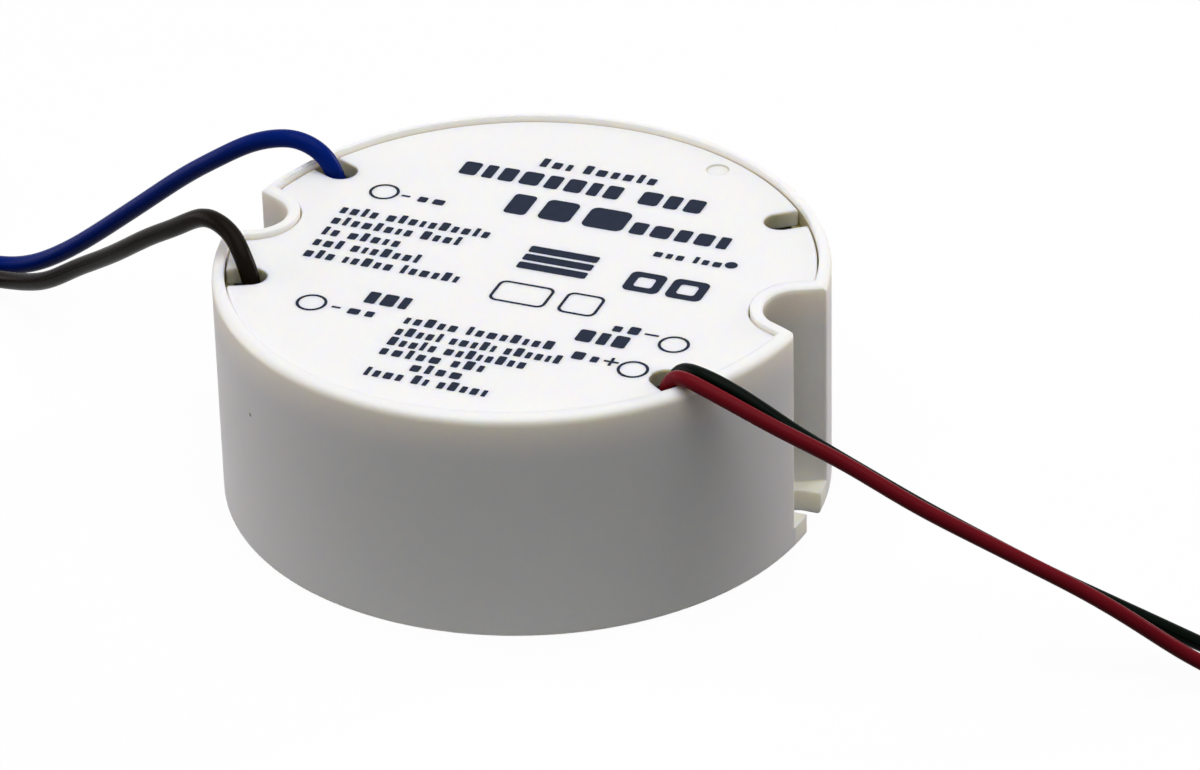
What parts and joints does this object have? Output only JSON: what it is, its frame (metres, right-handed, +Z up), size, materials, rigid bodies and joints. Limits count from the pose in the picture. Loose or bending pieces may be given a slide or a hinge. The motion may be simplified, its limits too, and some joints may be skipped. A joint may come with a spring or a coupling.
{
  "type": "led driver",
  "caption": "Round white LED driver: a moulded puck with a flush lid, slotted fixing notches and mains and load leads, feeding LED lamps at constant current.",
  "frame": {"origin": "middle of the flat underside of the housing", "axes": "+Z up through the lid, +X towards the fixing notch on the load side, +Y to the side where the load lead slot is empty"},
  "size_m": [0.1706, 0.0631, 0.0243],
  "materials": {
    "housing_plastic": "moulded polycarbonate, fine satin",
    "lid_plastic": "moulded polycarbonate, fine satin",
    "circuit_board": "green solder mask on glass laminate",
    "ferrite": "sintered ferrite, matt",
    "bobbin": "moulded phenolic",
    "winding_tape": "polyester tape over enamelled wire",
    "copper_wire": "enamelled copper wire",
    "capacitor_sleeve": "shrunk sleeve on an aluminium can",
    "output_sleeve": "shrunk sleeve on an aluminium can",
    "film_case": "potted plastic box",
    "disc_coating": "dipped epoxy",
    "resistor_coating": "lacquered ceramic",
    "package_plastic": "moulded epoxy",
    "chip_ceramic": "fired ceramic",
    "solder": "bright solder",
    "blue_sleeve": "extruded lead insulation",
    "brown_sleeve": "extruded lead insulation",
    "red_sleeve": "extruded lead insulation",
    "black_sleeve": "extruded lead insulation",
    "tinned_wire": "tinned copper strand",
    "tie_plastic": "moulded nylon",
    "printing_ink": "pad-printed ink"
  },
  "bodies": {
    "root": {"housing": "housing_plastic", "lid": "lid_plastic", "circuit_board": "circuit_board", "transformer_core": "ferrite", "transformer_bobbin": "bobbin", "transformer_winding": "winding_tape", "bulk_capacitor": "capacitor_sleeve", "output_capacitor": "output_sleeve", "film_capacitor": "film_case", "varistor": "disc_coating", "safety_capacitor": "disc_coating", "fusible_resistor": "resistor_coating", "output_diode": "package_plastic", "choke_core": "ferrite", "choke_winding": "copper_wire", "bridge_rectifier": "package_plastic", "power_transistor": "package_plastic", "controller_chip": "package_plastic", "chip_resistors": "package_plastic", "chip_capacitors": "chip_ceramic", "solder_joints": "solder", "blue_lead": "blue_sleeve", "blue_lead_coil": "blue_sleeve", "blue_lead_tip": "tinned_wire", "blue_coil_tie": "tie_plastic", "brown_lead": "brown_sleeve", "brown_lead_coil": "brown_sleeve", "brown_lead_tip": "tinned_wire", "brown_coil_tie": "tie_plastic", "red_lead": "red_sleeve", "red_lead_coil": "red_sleeve", "red_lead_tip": "tinned_wire", "red_coil_tie": "tie_plastic", "black_lead": "black_sleeve", "black_lead_coil": "black_sleeve", "black_lead_tip": "tinned_wire", "black_coil_tie": "tie_plastic"}
  },
  "joints": []
}
